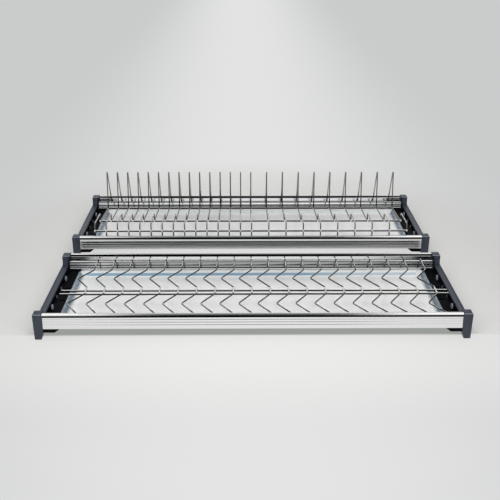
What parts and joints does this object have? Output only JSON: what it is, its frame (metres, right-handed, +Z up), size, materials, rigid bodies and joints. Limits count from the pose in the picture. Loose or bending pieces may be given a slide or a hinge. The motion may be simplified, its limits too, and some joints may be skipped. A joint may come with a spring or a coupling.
{
  "type": "cabinet dish rack",
  "caption": "Two-tier cabinet dish rack: a cup tier with chevron wires and a plate tier with upright loops, each with aluminium profiles, plastic side brackets and a lift-out drip tray.",
  "frame": {"origin": "on the counter, under the middle of the whole set", "axes": "+X along the rack to the right, +Y from the cup tier back to the plate tier, +Z up"},
  "size_m": [0.864, 0.671, 0.1414],
  "materials": {
    "bracket_plastic": "moulded ABS, dark slate grey, fine texture",
    "profile_aluminium": "bright anodised extrusion, nearly a mirror",
    "tray_steel": "thin polished stainless sheet",
    "basket_wire": "polished stainless wire",
    "screw_steel": "zinc-plated self-tapping screws"
  },
  "bodies": {
    "cup_frame": {"cup_left_bracket": "bracket_plastic", "cup_right_bracket": "bracket_plastic", "cup_front_profile": "profile_aluminium", "cup_rear_profile": "profile_aluminium", "cup_left_screws": "screw_steel", "cup_right_screws": "screw_steel"},
    "cup_tray": {"cup_drip_tray": "tray_steel"},
    "cup_basket": {"cup_front_rod": "basket_wire", "cup_rear_rod": "basket_wire", "cup_chevron_wires": "basket_wire"},
    "plate_frame": {"plate_left_bracket": "bracket_plastic", "plate_right_bracket": "bracket_plastic", "plate_front_profile": "profile_aluminium", "plate_rear_profile": "profile_aluminium", "plate_left_screws": "screw_steel", "plate_right_screws": "screw_steel"},
    "plate_tray": {"plate_drip_tray": "tray_steel"},
    "plate_basket": {"plate_front_rod": "basket_wire", "plate_step_rod": "basket_wire", "plate_loop_rod": "basket_wire", "plate_narrow_wires": "basket_wire", "plate_wide_wires": "basket_wire"}
  },
  "joints": [
    {"name": "plate_tier_lift", "type": "slide", "parent": "cup_frame", "child": "plate_frame", "axis": [0, 0, 1], "range_m": [0, 0.3]},
    {"name": "cup_tray_lift", "type": "slide", "parent": "cup_frame", "child": "cup_tray", "axis": [0, 0, 1], "range_m": [0, 0.08]},
    {"name": "cup_basket_lift", "type": "slide", "parent": "cup_tray", "child": "cup_basket", "axis": [0, 0, 1], "range_m": [0, 0.1]},
    {"name": "plate_tray_lift", "type": "slide", "parent": "plate_frame", "child": "plate_tray", "axis": [0, 0, 1], "range_m": [0, 0.08]},
    {"name": "plate_basket_lift", "type": "slide", "parent": "plate_tray", "child": "plate_basket", "axis": [0, 0, 1], "range_m": [0, 0.1]}
  ]
}
